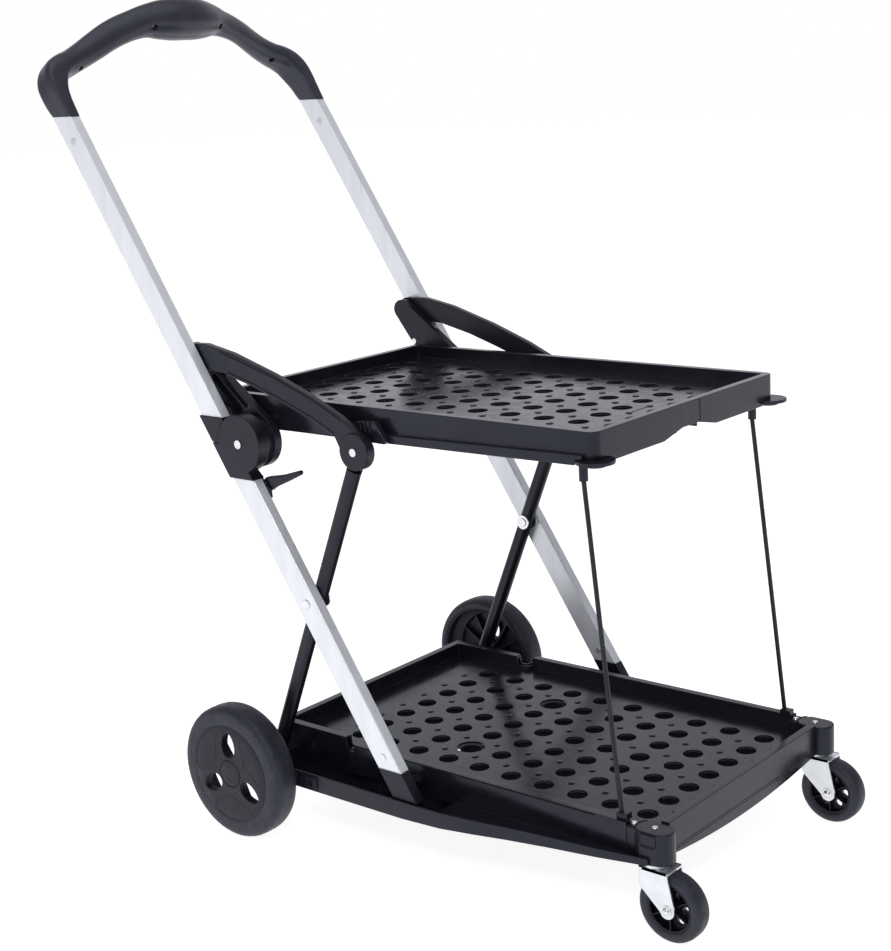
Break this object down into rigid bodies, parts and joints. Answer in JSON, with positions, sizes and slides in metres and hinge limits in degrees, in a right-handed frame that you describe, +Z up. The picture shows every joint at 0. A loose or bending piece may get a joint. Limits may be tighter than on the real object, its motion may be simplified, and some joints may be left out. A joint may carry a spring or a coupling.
{
  "type": "folding platform cart",
  "caption": "Folding push cart with stacked perforated decks, a scissor frame, a curved grip on flat tubes, fixed rear wheels and swivel front wheels.",
  "frame": {"origin": "on the floor under the middle of the bounding box, cart open", "axes": "+X forward towards the swivel wheels, +Y to the far side, +Z up"},
  "size_m": [0.9549, 0.55, 1.0448],
  "materials": {
    "deck_plastic": "moulded, fine grain",
    "frame_plastic": "moulded, fine grain",
    "grip_plastic": "soft satin",
    "tube_aluminium": "satin anodised",
    "leg_steel": "black powder coat",
    "bright_steel": "bright zinc",
    "zinc_steel": "bright zinc",
    "wheel_plastic": "moulded",
    "tyre_rubber": "grey black",
    "cord_rubber": "elastic cord"
  },
  "bodies": {
    "lower_frame": {"lower_deck": "deck_plastic", "corner_post_near": "frame_plastic", "corner_post_far": "frame_plastic", "corner_rivets": "bright_steel", "side_clips": "frame_plastic", "rear_axle": "bright_steel", "leg_foot_pins": "bright_steel", "cord_anchors": "frame_plastic", "caster_bearings": "zinc_steel", "cord_near": "cord_rubber", "cord_far": "cord_rubber"},
    "rear_wheel_near": {"rear_rim_near": "wheel_plastic", "rear_tyre_near": "tyre_rubber", "rear_cap_near": "wheel_plastic"},
    "rear_wheel_far": {"rear_rim_far": "wheel_plastic", "rear_tyre_far": "tyre_rubber", "rear_cap_far": "wheel_plastic"},
    "caster_swivel_near": {"caster_fork_near": "zinc_steel", "caster_axle_near": "bright_steel"},
    "caster_wheel_near": {"caster_hub_near": "wheel_plastic", "caster_tyre_near": "tyre_rubber"},
    "caster_swivel_far": {"caster_fork_far": "zinc_steel", "caster_axle_far": "bright_steel"},
    "caster_wheel_far": {"caster_hub_far": "wheel_plastic", "caster_tyre_far": "tyre_rubber"},
    "legs": {"leg_near": "leg_steel", "leg_far": "leg_steel", "cross_rivets": "bright_steel", "cross_washers": "bright_steel", "leg_rollers": "frame_plastic", "arm_rivets": "bright_steel"},
    "lower_tubes": {"lower_tube_near": "tube_aluminium", "lower_tube_far": "tube_aluminium", "hinge_collar_near": "frame_plastic", "hinge_collar_far": "frame_plastic", "tube_boot_near": "frame_plastic", "tube_boot_far": "frame_plastic", "boot_screws": "bright_steel", "boot_rollers": "frame_plastic", "hinge_pins": "bright_steel", "lever_pin": "frame_plastic"},
    "lever": {"release_lever": "frame_plastic"},
    "handle": {"upper_tube_near": "tube_aluminium", "upper_tube_far": "tube_aluminium", "hinge_plate_near": "frame_plastic", "hinge_plate_far": "frame_plastic", "plate_screws": "bright_steel", "tube_rivets": "bright_steel", "grip_front": "grip_plastic", "grip_back": "grip_plastic", "grip_screws": "bright_steel"},
    "arms": {"arm_near": "frame_plastic", "arm_far": "frame_plastic"},
    "deck": {"upper_deck": "deck_plastic", "corner_discs": "frame_plastic", "cord_sockets": "frame_plastic"}
  },
  "joints": [
    {"name": "leg_fold", "type": "hinge", "parent": "lower_frame", "child": "legs", "pos_m": [-0.1413, 0, 0.0875], "axis": [0, 1, 0], "range_deg": [0, 50], "deforming": ["cord_near", "cord_far"]},
    {"name": "tube_fold", "type": "hinge", "parent": "legs", "child": "lower_tubes", "pos_m": [-0.0441, 0, 0.3155], "axis": [0, 1, 0], "range_deg": [-96.49, 0]},
    {"name": "deck_tilt", "type": "hinge", "parent": "lower_tubes", "child": "deck", "pos_m": [-0.1378, 0, 0.5045], "axis": [0, 1, 0], "range_deg": [0, 47.34]},
    {"name": "handle_fold", "type": "hinge", "parent": "lower_tubes", "child": "handle", "pos_m": [-0.1378, 0, 0.5045], "axis": [0, 1, 0], "range_deg": [0, 148.87]},
    {"name": "arm_swing", "type": "hinge", "parent": "legs", "child": "arms", "pos_m": [0.0387, 0, 0.5095], "axis": [0, 1, 0], "range_deg": [-53.14, 0]},
    {"name": "lever_press", "type": "hinge", "parent": "lower_tubes", "child": "lever", "pos_m": [-0.1143, -0.207, 0.4555], "axis": [0, 1, 0], "range_deg": [0, 18], "stiffness_Nm_per_rad": 0.15, "springref_deg": -2.86},
    {"name": "rear_wheel_near_spin", "type": "hinge", "parent": "lower_frame", "child": "rear_wheel_near", "pos_m": [-0.1583, -0.255, 0.086], "axis": [0, 1, 0], "continuous": true},
    {"name": "caster_near_swivel", "type": "hinge", "parent": "lower_frame", "child": "caster_swivel_near", "pos_m": [0.4167, -0.182, 0.0825], "axis": [0, 0, 1], "continuous": true},
    {"name": "caster_near_spin", "type": "hinge", "parent": "caster_swivel_near", "child": "caster_wheel_near", "pos_m": [0.4387, -0.182, 0.04], "axis": [0, 1, 0], "continuous": true},
    {"name": "rear_wheel_far_spin", "type": "hinge", "parent": "lower_frame", "child": "rear_wheel_far", "pos_m": [-0.1583, 0.255, 0.086], "axis": [0, 1, 0], "continuous": true},
    {"name": "caster_far_swivel", "type": "hinge", "parent": "lower_frame", "child": "caster_swivel_far", "pos_m": [0.4167, 0.182, 0.0825], "axis": [0, 0, 1], "continuous": true},
    {"name": "caster_far_spin", "type": "hinge", "parent": "caster_swivel_far", "child": "caster_wheel_far", "pos_m": [0.4387, 0.182, 0.04], "axis": [0, 1, 0], "continuous": true}
  ],
  "couplings": [
    {"joint": "tube_fold", "follows": "leg_fold", "ratio": -1.9296},
    {"joint": "deck_tilt", "follows": "leg_fold", "ratio": 0.9465},
    {"joint": "handle_fold", "follows": "leg_fold", "ratio": 2.9771},
    {"joint": "arm_swing", "follows": "leg_fold", "ratio": -1.0626}
  ]
}
